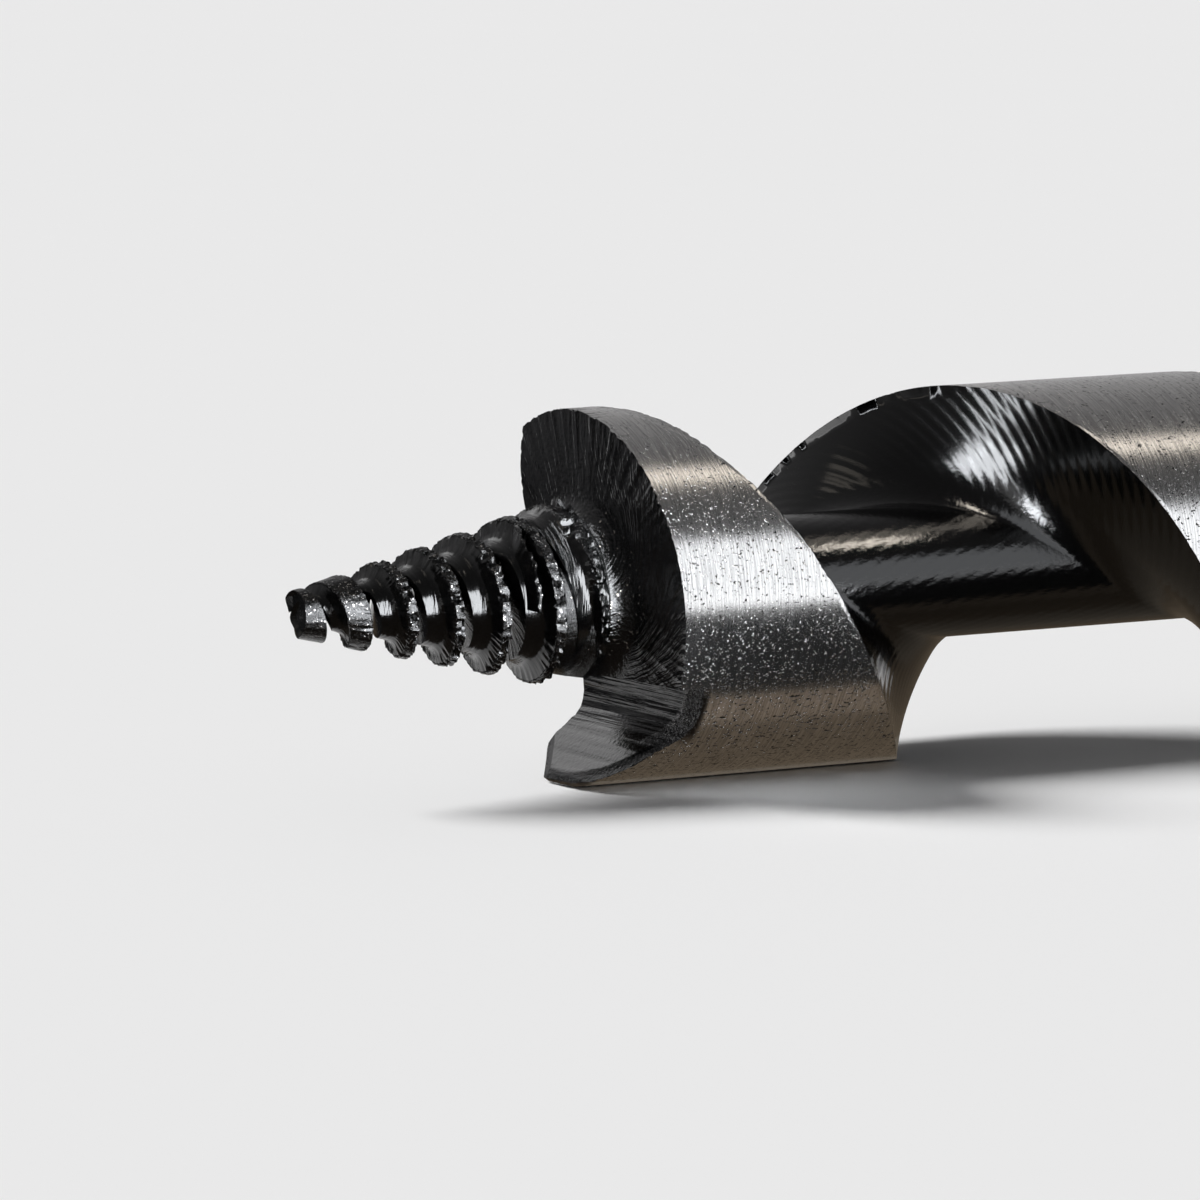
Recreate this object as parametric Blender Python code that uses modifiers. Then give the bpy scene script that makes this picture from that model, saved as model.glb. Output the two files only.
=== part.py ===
"""A single-flute auger drill bit for wood, in metres with +Z up.

The bit lies on its side. Its axis runs along X, from the tip of the lead screw at -X to the end of
the hexagonal shank at +X, and the lands rest on z = 0. The origin is under the middle of its length.

Angles round the axis are measured from +Z towards -Y, so that a right-handed helix climbs towards
+X as its angle grows. The real bit is forged and ground from one bar, so it is one solid here.
"""

import math

import bmesh
import bpy
from mathutils import Matrix, Vector

MM = 0.001

# The whole bit
OVERALL_LENGTH = 235 * MM
WORKING_LENGTH = 160 * MM  # from the tip of the lead screw to the end of the twist
DIAMETER = 16 * MM

# The twist: one wide land and one U-shaped flute round a solid core
TWIST_PITCH = 30.7 * MM
LAND_WIDTH = 12.2 * MM  # along the axis
CORE_DIAMETER = 5.8 * MM
FLUTE_DRAFT = math.radians(12)
FLUTE_FILLET = 2.2 * MM
EDGE_BEHIND_LIP = 1.0 * MM  # from the lip to where the land's rear edge crosses the top
LIP_ANGLE = math.radians(-30)  # where the cutting lip meets the rim
LIP_EXTRA = 1.56 * MM  # how much wider the land is at the lip
LIP_BLEND = math.radians(70)  # how far round the extra width fades out
LIP_PITCH = 5.8 * MM  # the flute's flatter climb inside the lip

# The head's end face, a plane that falls away from the lip
RELIEF_ANGLE = math.radians(4.1)
RELIEF_FILLET = 1.2 * MM

# The spur and the groove that is ground across the head in front of it
SPUR_HEIGHT = 0.8 * MM  # how far it stands in front of the lip
SPUR_EDGE = 0.25 * MM  # its blunt top, measured in from the rim
SPUR_BEVEL = math.radians(40)  # its inner face, against the axis
SPUR_CLEARANCE = math.radians(35)
SPUR_TOP_END = 0.9 * MM  # past the middle of the head, where the clearance starts
GROOVE_DEPTH = 2.5 * MM  # behind the lip
GROOVE_LEAN = 0.3 * MM  # how much shallower it is at its ceiling
GROOVE_CEILING = 3.2 * MM  # below the axis
GROOVE_FILLET = 1.0 * MM
GROOVE_REACH = 1.5 * MM  # in front of the lip, which flattens the collar's underside

# The lead screw and the collar at its base
LEAD_LENGTH = 13.3 * MM  # from the lip to the tip
LEAD_PITCH = 1.98 * MM
LEAD_ANGLE = math.radians(172)  # where the last crest is LEAD_LAST from the lip
LEAD_LAST = 2.37 * MM
LEAD_TIP_ROOT = 0.65 * MM
LEAD_TIP_SETBACK = 0.08 * MM  # how far the root ends behind the thread
LEAD_TIP_CREST = 0.95 * MM
LEAD_BASE_ROOT = 2.7 * MM
LEAD_BASE_CREST = 3.45 * MM
LEAD_CREST_WIDTH = 0.35 * MM
LEAD_ROOT_WIDTH = 0.85 * MM
COLLAR_DIAMETER = 6.7 * MM
COLLAR_LENGTH = 1.5 * MM  # in front of the lip
COLLAR_BEHIND = 1.0 * MM
COLLAR_TAPER = 1.6 * MM  # along the axis, into the core

# The shank
NECK_DIAMETER = 10.5 * MM
SHOULDER_ANGLE = math.radians(30)
HEX_LENGTH = 38 * MM
HEX_ACROSS_FLATS = 11 * MM
HEX_CHAMFER_ANGLE = math.radians(30)
HEX_CHAMFER = 0.9 * MM  # in from the corners

# How finely round shapes are divided
SIDES = 32
THREAD_SIDES = 24
FILLET_STEPS = 4
OVERSHOOT = 2 * MM  # how far a cutter reaches past what it cuts

STEP = math.tau / SIDES
ROUND = 1 / math.cos(STEP / 2)  # makes the flats of a many-sided bar touch its true circle
RADIUS = DIAMETER / 2
CORE_RADIUS = CORE_DIAMETER / 2
COLLAR_RADIUS = COLLAR_DIAMETER / 2
NECK_RADIUS = NECK_DIAMETER / 2
FLUTE_WIDTH = TWIST_PITCH - LAND_WIDTH
TIP_X = -OVERALL_LENGTH / 2
END_X = OVERALL_LENGTH / 2
LIP_X = TIP_X + LEAD_LENGTH
SPUR_X = LIP_X - SPUR_HEIGHT
TWIST_END_X = TIP_X + WORKING_LENGTH
AXIS_Z = RADIUS
ALONG = Vector((1, 0, 0))


def on_bit(x, angle, radius):
    """The point at this place along the axis, angle round it and distance from it."""
    return Vector((x, -radius * math.sin(angle), AXIS_Z + radius * math.cos(angle)))


def arc(centre, radius, start, end, steps):
    """Points of an arc in the plane of a profile, with the angles measured from its first axis."""
    angles = [start + (end - start) * i / steps for i in range(steps + 1)]
    return [
        (centre[0] + radius * math.cos(angle), centre[1] + radius * math.sin(angle))
        for angle in angles
    ]


def new_object(name, mesh_maker, collection):
    """An object in the collection, whose mesh the maker fills."""
    mesh = bpy.data.meshes.new(name)
    bm = bmesh.new()
    mesh_maker(bm)
    bmesh.ops.recalc_face_normals(bm, faces=bm.faces)
    bm.to_mesh(mesh)
    bm.free()
    obj = bpy.data.objects.new(name, mesh)
    collection.objects.link(obj)
    return obj


def turned(name, profile, collection):
    """A solid turned round the bit's axis from a profile of (x, radius), which starts and ends on it."""

    def profile_edges(bm):
        points = [bm.verts.new(on_bit(x, STEP / 2, r * ROUND)) for x, r in profile]
        for here, there in zip(points, points[1:]):
            bm.edges.new((here, there))

    obj = new_object(name, profile_edges, collection)
    obj.data.transform(Matrix.Translation((0, 0, -AXIS_Z)))
    obj.location = (0, 0, AXIS_Z)
    screw = obj.modifiers.new("Turn", "SCREW")
    screw.axis = "X"
    screw.steps = SIDES
    screw.render_steps = SIDES
    screw.use_merge_vertices = True
    screw.merge_threshold = 1e-6
    screw.use_normal_calculate = True
    return obj


def swept(name, sections, collection):
    """A solid through a list of outlines with equally many points, closed at both ends."""

    def skin(bm):
        rings = [[bm.verts.new(point) for point in section] for section in sections]
        bm.faces.new(rings[0])
        bm.faces.new(rings[-1])
        for ring, after in zip(rings, rings[1:]):
            for i in range(len(ring)):
                bm.faces.new((ring[i - 1], ring[i], after[i], after[i - 1]))
        bmesh.ops.triangulate(bm, faces=bm.faces, quad_method="SHORT_EDGE")

    return new_object(name, skin, collection)


def extruded(name, outline, start, travel, collection):
    """A flat outline of points, moved to its start and drawn out along its travel."""

    def prism(bm):
        face = bm.faces.new([bm.verts.new(point + start) for point in outline])
        pulled = bmesh.ops.extrude_face_region(bm, geom=[face])
        moved = [item for item in pulled["geom"] if isinstance(item, bmesh.types.BMVert)]
        bmesh.ops.translate(bm, verts=moved, vec=travel)

    return new_object(name, prism, collection)


def helix_x(angle):
    """Where the land's rear edge crosses this angle on the first turn."""
    return LIP_X + EDGE_BEHIND_LIP + TWIST_PITCH * angle / math.tau


def lip_widening(angle):
    """How much the land gains behind the lip, fading out round the bit."""
    if angle < LIP_ANGLE:
        return LIP_EXTRA + (TWIST_PITCH - LIP_PITCH) * (LIP_ANGLE - angle) / math.tau
    return LIP_EXTRA * max(0, LIP_ANGLE + LIP_BLEND - angle) / LIP_BLEND


def flute_outline(rear, front, floor):
    """The flute's section as (x, radius): two drafted walls with fillets down to a flat floor."""
    depth = RADIUS - CORE_RADIUS
    wall_top = depth + OVERSHOOT
    lean = math.tan(FLUTE_DRAFT)
    to_centre = FLUTE_FILLET / math.cos(FLUTE_DRAFT) + (depth - FLUTE_FILLET) * lean
    rear_fillet = arc(
        (rear + to_centre, floor + FLUTE_FILLET),
        FLUTE_FILLET,
        math.pi + FLUTE_DRAFT,
        1.5 * math.pi,
        FILLET_STEPS,
    )
    front_fillet = arc(
        (front - to_centre, floor + FLUTE_FILLET),
        FLUTE_FILLET,
        1.5 * math.pi,
        2 * math.pi - FLUTE_DRAFT,
        FILLET_STEPS,
    )
    rear_wall = [(rear - OVERSHOOT * lean, floor + wall_top), (rear, floor + depth)]
    front_wall = [(front, floor + depth), (front + OVERSHOOT * lean, floor + wall_top)]
    return [*rear_wall, *rear_fillet, *front_fillet, *front_wall]


def flute_cutter(collection):
    """The flute, which enters and leaves the bar along straight lines that touch the core."""
    floor = CORE_RADIUS * ROUND
    run_in = math.ceil(math.acos(floor / (RADIUS * ROUND + OVERSHOOT)) / STEP)
    first = round(math.radians(-90) / STEP)
    turns_end = (TWIST_END_X - FLUTE_WIDTH - helix_x(0)) / TWIST_PITCH
    last = round(turns_end * SIDES)
    sections = []
    for step in range(first - run_in, last + run_in + 1):
        angle = step * STEP
        past_tangent = max(first - step, step - last, 0) * STEP
        outline = flute_outline(
            helix_x(angle) + lip_widening(angle),
            helix_x(angle) + FLUTE_WIDTH,
            floor / math.cos(past_tangent),
        )
        sections.append([on_bit(x, angle, radius) for x, radius in outline])
    return swept("flute_cutter", sections, collection)


def bar(collection):
    """The turned bar: the head and twist at full size, a shoulder and a thinner neck."""
    shoulder = (RADIUS - NECK_RADIUS) / math.tan(SHOULDER_ANGLE)
    neck_end = END_X - HEX_LENGTH / 2
    profile = [
        (SPUR_X, 0),
        (SPUR_X, RADIUS),
        (TWIST_END_X, RADIUS),
        (TWIST_END_X + shoulder, NECK_RADIUS),
        (neck_end, NECK_RADIUS),
        (neck_end, 0),
    ]
    return turned("auger_bit", profile, collection)


def relief_cutter(collection):
    """A tilted ring that faces the head behind the lip, leaves a fillet and stops above the spur."""
    inner = COLLAR_RADIUS - 0.1 * RELIEF_FILLET
    outer = RADIUS * ROUND + 2 * OVERSHOOT
    fillet = arc(
        (-RELIEF_FILLET, inner + RELIEF_FILLET),
        RELIEF_FILLET,
        -math.pi / 2,
        0,
        FILLET_STEPS,
    )
    fall = RADIUS * math.tan(RELIEF_ANGLE)
    front = -(SPUR_HEIGHT + 2 * fall + OVERSHOOT)
    profile = [(front, inner), *fillet, (0, outer), (front, outer)]
    low_side = on_bit(0, LIP_ANGLE + math.pi, 1) - on_bit(0, 0, 0)
    tilt = Matrix.Rotation(RELIEF_ANGLE, 4, low_side.cross(ALONG))
    place = Matrix.Translation((LIP_X + fall, 0, AXIS_Z)) @ tilt
    bottom = AXIS_Z - GROOVE_CEILING - GROOVE_FILLET

    def ring(bm):
        loop = [bm.verts.new((x, 0, r)) for x, r in profile]
        edges = [bm.edges.new((loop[i - 1], loop[i])) for i in range(len(loop))]
        bmesh.ops.spin(
            bm,
            geom=loop + edges,
            cent=(0, 0, 0),
            axis=ALONG,
            angle=math.tau,
            steps=SIDES,
            use_merge=True,
        )
        bmesh.ops.transform(bm, matrix=place, verts=bm.verts)
        cut = bmesh.ops.bisect_plane(
            bm,
            geom=bm.verts[:] + bm.edges[:] + bm.faces[:],
            plane_co=(0, 0, bottom),
            plane_no=(0, 0, -1),
            clear_outer=True,
        )
        rim = [item for item in cut["geom_cut"] if isinstance(item, bmesh.types.BMEdge)]
        bmesh.ops.holes_fill(bm, edges=rim, sides=0)
        bmesh.ops.triangulate(bm, faces=bm.faces)

    return new_object("relief_cutter", ring, collection)


def groove_cutter(collection):
    """The groove across the head, under the collar, whose lower side is the spur's inner face."""
    floor_x = LIP_X + GROOVE_DEPTH
    front_x = LIP_X - GROOVE_REACH
    ceiling = -GROOVE_CEILING
    tip_z = -(RADIUS - SPUR_EDGE)
    slope = math.tan(SPUR_BEVEL)
    corner_z = tip_z + (floor_x - SPUR_X) * slope
    half_turn = (math.pi / 2 - SPUR_BEVEL) / 2
    setback = GROOVE_FILLET * math.tan(half_turn)
    fillet = arc(
        (floor_x - GROOVE_FILLET, corner_z + setback),
        GROOVE_FILLET,
        0,
        SPUR_BEVEL - math.pi / 2,
        FILLET_STEPS,
    )
    outline = [
        (front_x, ceiling),
        (floor_x - GROOVE_LEAN, ceiling),
        *fillet,
        (front_x, tip_z + (front_x - SPUR_X) * slope),
    ]
    reach = RADIUS * ROUND + OVERSHOOT
    points = [Vector((x, 0, AXIS_Z + z)) for x, z in outline]
    start = Vector((0, -reach, 0))
    return extruded("groove_cutter", points, start, Vector((0, 2 * reach, 0)), collection)


def clearance_cutter(collection):
    """Backs the spur's top off towards its trailing end."""
    past = OVERSHOOT / math.tan(SPUR_CLEARANCE)
    end_y = RADIUS + OVERSHOOT
    end_x = SPUR_X + (end_y - SPUR_TOP_END) * math.tan(SPUR_CLEARANCE)
    outline = [
        (SPUR_X - OVERSHOOT, SPUR_TOP_END - past),
        (end_x, end_y),
        (SPUR_X - OVERSHOOT, end_y),
    ]
    bottom = -OVERSHOOT
    top = AXIS_Z - GROOVE_CEILING - GROOVE_FILLET
    points = [Vector((x, y, 0)) for x, y in outline]
    travel = Vector((0, 0, top - bottom))
    return extruded("clearance_cutter", points, Vector((0, 0, bottom)), travel, collection)


def lead_core(collection):
    """The lead screw's tapered root and the collar that joins it to the head."""
    collar_front = LIP_X - COLLAR_LENGTH
    taper_x = LIP_X + COLLAR_BEHIND
    inside_core = CORE_RADIUS * 0.9
    profile = [
        (TIP_X + LEAD_TIP_SETBACK, 0),
        (TIP_X + LEAD_TIP_SETBACK, LEAD_TIP_ROOT),
        (collar_front - (COLLAR_RADIUS - LEAD_BASE_ROOT), LEAD_BASE_ROOT),
        (collar_front, COLLAR_RADIUS),
        (taper_x, COLLAR_RADIUS),
        (taper_x + COLLAR_TAPER, inside_core),
        (taper_x + COLLAR_TAPER, 0),
    ]
    return turned("lead_core", profile, collection)


def lead_thread(collection):
    """The coarse right-handed thread, which grows from the tip to the collar."""
    step = math.tau / THREAD_SIDES
    per_step = LEAD_PITCH / THREAD_SIDES
    start_x = TIP_X + LEAD_CREST_WIDTH
    end_x = LIP_X - COLLAR_LENGTH
    steps = math.floor((end_x - start_x) / per_step)
    base_x = LIP_X - LEAD_LAST
    sections = []
    for i in range(steps + 1):
        x = start_x + i * per_step
        angle = LEAD_ANGLE + (x - base_x) / LEAD_PITCH * math.tau
        share = min(1, (x - TIP_X) / (base_x - TIP_X))
        root = LEAD_TIP_ROOT + (LEAD_BASE_ROOT - LEAD_TIP_ROOT) * share
        crest = LEAD_TIP_CREST + (LEAD_BASE_CREST - LEAD_TIP_CREST) * share
        outline = [
            (x - LEAD_ROOT_WIDTH / 2, root * 0.7),
            (x - LEAD_ROOT_WIDTH / 2, root),
            (x - LEAD_CREST_WIDTH / 2, crest),
            (x + LEAD_CREST_WIDTH / 2, crest),
            (x + LEAD_ROOT_WIDTH / 2, root),
            (x + LEAD_ROOT_WIDTH / 2, root * 0.7),
        ]
        sections.append([on_bit(max(px, TIP_X), angle, radius) for px, radius in outline])
    return swept("lead_thread", sections, collection)


def hexagon(collection):
    """The hexagonal bar of the shank, with a flat on top."""
    corner = HEX_ACROSS_FLATS / 2 / math.cos(math.pi / 6)
    start_x = END_X - HEX_LENGTH
    outline = [on_bit(start_x, (i + 0.5) * math.tau / 6, corner) for i in range(6)]
    travel = Vector((HEX_LENGTH, 0, 0))
    return extruded("hexagon", outline, Vector((0, 0, 0)), travel, collection)


def hexagon_ends(collection):
    """The turned envelope that chamfers both ends of the hexagon."""
    corner = HEX_ACROSS_FLATS / 2 / math.cos(math.pi / 6)
    run = HEX_CHAMFER / math.tan(HEX_CHAMFER_ANGLE)
    start_x = END_X - HEX_LENGTH
    outer = corner + OVERSHOOT
    past = OVERSHOOT / math.tan(HEX_CHAMFER_ANGLE)
    profile = [
        (start_x - OVERSHOOT, 0),
        (start_x - OVERSHOOT, corner - HEX_CHAMFER - OVERSHOOT * math.tan(HEX_CHAMFER_ANGLE)),
        (start_x + run + past, outer),
        (END_X - run - past, outer),
        (END_X + OVERSHOOT, corner - HEX_CHAMFER - OVERSHOOT * math.tan(HEX_CHAMFER_ANGLE)),
        (END_X + OVERSHOOT, 0),
    ]
    return turned("hexagon_ends", profile, collection)


def combine(obj, other, operation):
    """Adds a Boolean of the other shape to the object."""
    boolean = obj.modifiers.new(other.name, "BOOLEAN")
    boolean.operation = operation
    boolean.solver = "EXACT"
    boolean.object = other


def steel():
    """Dark tool steel, lacquered black where it isn't ground."""
    material = bpy.data.materials.new("tool_steel")
    material.use_nodes = True
    shader = material.node_tree.nodes["Principled BSDF"]
    shader.inputs["Base Color"].default_value = (0.16, 0.155, 0.15, 1)
    shader.inputs["Metallic"].default_value = 1.0
    shader.inputs["Roughness"].default_value = 0.35
    return material


def new_collection(name):
    collection = bpy.data.collections.new(name)
    bpy.context.scene.collection.children.link(collection)
    return collection


def build():
    for obj in list(bpy.data.objects):
        bpy.data.objects.remove(obj)
    part = new_collection("auger_drill_bit")
    cutters = new_collection("cutters")

    bit = bar(part)
    combine(bit, flute_cutter(cutters), "DIFFERENCE")
    combine(bit, relief_cutter(cutters), "DIFFERENCE")
    combine(bit, clearance_cutter(cutters), "DIFFERENCE")
    combine(bit, lead_core(cutters), "UNION")
    combine(bit, lead_thread(cutters), "UNION")
    combine(bit, groove_cutter(cutters), "DIFFERENCE")
    hexagonal_end = hexagon(cutters)
    combine(hexagonal_end, hexagon_ends(cutters), "INTERSECT")
    combine(bit, hexagonal_end, "UNION")

    bit.data.materials.append(steel())
    bit.data.shade_smooth()
    for cutter in cutters.objects:
        cutter.hide_render = True
        cutter.display_type = "WIRE"


build()
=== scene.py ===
# %% [markdown]
# # A single-flute auger bit
#
# The bit is one piece of steel: a lead screw that pulls it into the wood, a head with one cutting lip
# and one spur, a helical land with a U-shaped flute, and a hexagonal shank. The packed model gives its
# place and size, and every piece below is made to those numbers, in millimetres, and then in metres.

# %% The packed model
import math

import bmesh
import bpy
from mathutils import Matrix, Vector, noise


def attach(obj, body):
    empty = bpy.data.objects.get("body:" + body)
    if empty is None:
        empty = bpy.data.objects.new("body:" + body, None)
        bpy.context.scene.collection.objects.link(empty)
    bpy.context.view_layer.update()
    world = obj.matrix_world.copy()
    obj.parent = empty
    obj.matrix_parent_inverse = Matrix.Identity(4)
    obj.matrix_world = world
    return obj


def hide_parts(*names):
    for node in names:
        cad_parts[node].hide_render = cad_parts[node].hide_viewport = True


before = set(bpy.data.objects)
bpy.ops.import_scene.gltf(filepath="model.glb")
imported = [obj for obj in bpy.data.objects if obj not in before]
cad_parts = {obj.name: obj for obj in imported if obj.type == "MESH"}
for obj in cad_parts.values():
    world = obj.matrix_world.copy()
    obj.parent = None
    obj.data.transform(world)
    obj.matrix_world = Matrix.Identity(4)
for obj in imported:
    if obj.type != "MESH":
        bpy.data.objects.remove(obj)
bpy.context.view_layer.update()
MM = 0.001

# %% [markdown]
# ## The camera
#
# The photograph is a close view of the head through a long lens, from the front left and a little above.
# A camera is placed by the point that it aims at, two angles and a distance, because those four are easy
# to compare with a picture.

# %% The camera
ZERO_X = -103.2  # where the land's rear edge crosses the top of the bit
AXIS_Z = 8.0
AIM_X = 0.44
AIM_Z = -0.205  # above the axis
CAMERA_DISTANCE = 370.4


def direction(azimuth, elevation):
    """The unit vector towards a place round the bit: 0 is the front, 90 the shank's end, 90 up the top."""
    a, e = math.radians(azimuth), math.radians(elevation)
    return Vector((math.sin(a) * math.cos(e), -math.cos(a) * math.cos(e), math.sin(e)))


aim = Vector((ZERO_X + AIM_X, 0, AXIS_Z + AIM_Z)) * MM
towards_camera = direction(-30.61, 7.19)
camera_data = bpy.data.cameras.new("camera")
camera_data.sensor_width = 36
camera_data.lens = 262.1
camera_data.clip_start = 0.01
camera_data.clip_end = 20
camera = bpy.data.objects.new("camera", camera_data)
bpy.context.scene.collection.objects.link(camera)
camera.location = aim + towards_camera * CAMERA_DISTANCE * MM
camera.rotation_euler = towards_camera.to_track_quat("Z", "Y").to_euler()
bpy.context.scene.camera = camera
bpy.context.scene.view_settings.view_transform = "Standard"
print("camera at", [round(v / MM) for v in camera.location])

# %% [markdown]
# ## Finishes
#
# Each finish is a small network of nodes. Its sums are written as Python expressions: a Wire holds the
# end of a node, and adding or multiplying wires adds the Math nodes. Every other node comes from one
# method of Finish, so that a finish reads as a short list of steps.

# %% Wires


class Wire:
    """A node's output that Python arithmetic turns into Math nodes."""

    def __init__(self, finish, socket):
        self.finish = finish
        self.socket = socket

    def math(self, operation, *others):
        values = dict(enumerate((self, *others)))
        return self.finish.add("Math", {"operation": operation}, values)

    def __add__(self, other):
        return self.math("ADD", other)

    __radd__ = __add__

    def __sub__(self, other):
        return self.math("SUBTRACT", other)

    def __rsub__(self, other):
        return self.finish.add("Math", {"operation": "SUBTRACT"}, {0: other, 1: self})

    def __mul__(self, other):
        return self.math("MULTIPLY", other)

    __rmul__ = __mul__

    def __truediv__(self, other):
        return self.math("DIVIDE", other)

    def __pow__(self, other):
        return self.math("POWER", other)

    def band(self, start, end):
        """0 below start, 1 above end, and smooth between; start may be the larger."""
        settings = {"interpolation_type": "SMOOTHSTEP"}
        if start < end:
            return self.finish.add("MapRange", settings, {0: self, 1: start, 2: end})
        return 1 - self.finish.add("MapRange", settings, {0: self, 1: end, 2: start})


print("a wire knows", [name for name in vars(Wire) if callable(getattr(Wire, name))])

# %% Finishes


class Finish:
    """The nodes of a new material, or of the world."""

    def __init__(self, owner, shader="Principled BSDF"):
        self.owner = owner
        owner.use_nodes = True
        self.tree = owner.node_tree
        self.shader = self.tree.nodes[shader]

    def add(self, kind, settings, values, output=0):
        """A new node, with its settings made first, and then its sockets filled or linked."""
        node = self.tree.nodes.new("ShaderNode" + kind)
        for name, value in settings.items():
            setattr(node, name, value)
        for key, value in values.items():
            self.set(node.inputs[key], value)
        return Wire(self, node.outputs[output])

    def set(self, socket, value):
        if isinstance(value, Wire):
            self.tree.links.new(value.socket, socket)
        else:
            socket.default_value = value

    def surface(self, **values):
        """Fills the shader's sockets, which are named in lower case with underscores."""
        for name, value in values.items():
            self.set(self.shader.inputs[name.replace("_", " ").title().replace("Ior", "IOR")], value)
        return self.owner

    def place(self, *names):
        """The named measures of a point: x, y and z from ZERO_X on the axis, its radius and its angle."""
        coordinates = self.add("TexCoord", {}, {}, output="Object")
        parts = [self.add("SeparateXYZ", {}, {0: coordinates}, output=axis) for axis in "XYZ"]
        x = parts[0] / MM - ZERO_X
        y = parts[1] / MM
        z = parts[2] / MM - AXIS_Z
        radius = (y * y + z * z) ** 0.5
        angle = (0 - y).math("ARCTAN2", z)
        measures = {"x": x, "y": y, "z": z, "radius": radius, "angle": angle}
        return [measures[name] for name in names]

    def vector(self, x, y, z):
        return self.add("CombineXYZ", {}, {0: x, 1: y, 2: z})

    def noise(self, vector, scale, detail=2.0, roughness=0.5):
        values = {"Vector": vector, "Scale": scale, "Detail": detail, "Roughness": roughness}
        return self.add("TexNoise", {}, values)

    def mix(self, share, first, second):
        """A colour between two, by a share of the second."""
        values = {"Factor": share, 6: first, 7: second}
        return self.add("Mix", {"data_type": "RGBA"}, values, output=2)

    def bump(self, height, depth):
        """The height is in shares of the depth, which is in millimetres."""
        return self.add("Bump", {}, {"Strength": 1.0, "Distance": depth * MM, "Height": height})


def made(material):
    """Prints how large a finished material is, and passes it on."""
    print(material.name, "has", len(material.node_tree.nodes), "nodes")
    return material


print("a finish knows", [name for name in vars(Finish) if callable(getattr(Finish, name))])

# %% [markdown]
# ## Ground steel
#
# The lands are ground bare. The wheel leaves fine lines that run round the bit, and the rolled bar's pits
# stay as dark spots, which are longer and closer together on the lower side. A painted image could show
# them, but noise that is stretched one way stays sharp however close the camera comes. A bump gives each
# line and pit its own slope, so that the lamps break up on it as they do on the real one.

# %% Ground steel
RADIUS = 8.0
TWIST_PITCH = 30.7
TWIST_END_X = 145.7
FLUTE_WIDTH = 18.5  # along the axis


def across_flute(x, angle):
    """Millimetres along the axis from the middle of the flute's nearest turn."""
    half = TWIST_PITCH / 2
    return (x - angle * (TWIST_PITCH / math.tau) - FLUTE_WIDTH / 2).math("WRAP", half, -half)


def ground_steel_finish():
    finish = Finish(bpy.data.materials.new("ground_steel"))
    x, angle = finish.place("x", "angle")
    around = angle * RADIUS
    lines = finish.noise(finish.vector(x * 14.0, around * 0.5, 0.0), 1.0, 2.0, 0.5)
    grain = finish.noise(finish.vector(x, around, 0.0), 11.0, 2.0, 0.6)
    crumbs = finish.noise(finish.vector(x, around, 7.0), 9.5, 1.0, 0.5).band(0.67, 0.75)
    cloud = finish.noise(finish.vector(x, around * 1.5, 0.0), 0.45, 3.0, 0.6)
    round_pits = finish.noise(finish.vector(x, around * 1.2, 3.0), 7.5, 1.0, 0.5).band(0.65, 0.70)
    long_pits = finish.noise(finish.vector(x * 3.0, around * 7.0, 9.0), 1.2, 2.0, 0.6).band(0.60, 0.67)
    below = angle.math("ABSOLUTE").band(1.85, 2.15)
    pits = round_pits.math("MAXIMUM", long_pits * below)
    # A torn patch on the rim, just behind the spur
    torn = x.band(0.7, 1.0) * x.band(1.7, 1.4) * angle.band(1.96, 2.05) * angle.band(2.42, 2.28)
    from_middle = across_flute(x, angle).math("ABSOLUTE")
    rounded = from_middle.band(FLUTE_WIDTH / 2 + 0.23, FLUTE_WIDTH / 2)
    edge = rounded * x.band(TWIST_END_X - 0.7, TWIST_END_X - 1.7)
    height = lines * 0.34 + grain * (0.12 + torn * 2.5) - pits * 0.7 - edge * 0.8
    height = height + crumbs * (1 - below) * 0.55
    shine = lines.band(0.35, 0.65) * 0.6 + cloud * 0.4
    clean = finish.mix(shine, (0.40, 0.395, 0.39, 1), (0.66, 0.65, 0.64, 1))
    dark = pits.math("MAXIMUM", torn * 0.97)
    return finish.surface(
        base_color=finish.mix(dark, clean, (0.02, 0.018, 0.017, 1)),
        metallic=1.0,
        roughness=0.16 + cloud * 0.08,
        normal=finish.bump(height, 0.022),
    )


steel = made(ground_steel_finish())

# %% [markdown]
# ## Black lacquer
#
# Everything that the wheel doesn't reach keeps a black gloss lacquer, and under it are the marks of the
# tool that cut each surface. So there is one lacquer for each cutter: the same black coat over strokes
# that fan out on the face, lines along the groove, scallops across the flute and streaks on the screw.
# The shank's is plain: the skin of the drawn bar, with faint lines along it.

# %% The coat and the shank's lacquer
BLACK = (0.0025, 0.0025, 0.0026, 1)
STEEL_GREY = (0.30, 0.29, 0.28, 1)


def coat(finish, height, depth, roughness=0.15, worn=None, worn_colour=STEEL_GREY):
    """Black gloss over a relief, with the lacquer rubbed off where worn is 1."""
    colour, metal = BLACK, 0.0
    if worn is not None:
        colour, metal = finish.mix(worn, BLACK, worn_colour), worn
    return finish.surface(
        base_color=colour,
        metallic=metal,
        roughness=roughness,
        normal=finish.bump(height, depth),
    )


def plain_lacquer_finish():
    finish = Finish(bpy.data.materials.new("plain_lacquer"))
    x, y, z = finish.place("x", "y", "z")
    drawn = finish.noise(finish.vector(x * 0.5, y * 5.0, z * 5.0), 1.0, 3.0, 0.6)
    grain = finish.noise(finish.vector(x, y, z), 3.5, 3.0, 0.6)
    return coat(finish, drawn * 0.5 + grain * 0.5, 0.02, 0.2)


plain_lacquer = made(plain_lacquer_finish())

# %% [markdown]
# The face is ground by hand from the rim inwards. The strokes leave the rim square to it and curve down
# towards the collar. Noise makes them, read at an angle that is multiplied many times and at a distance
# that hardly is. Close to the collar the skin is pitted, with a few specks of bare steel, partly wear and
# partly painted glints: they are kept to the front side of the face, where the glints fall.

# %% The face's lacquer


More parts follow.
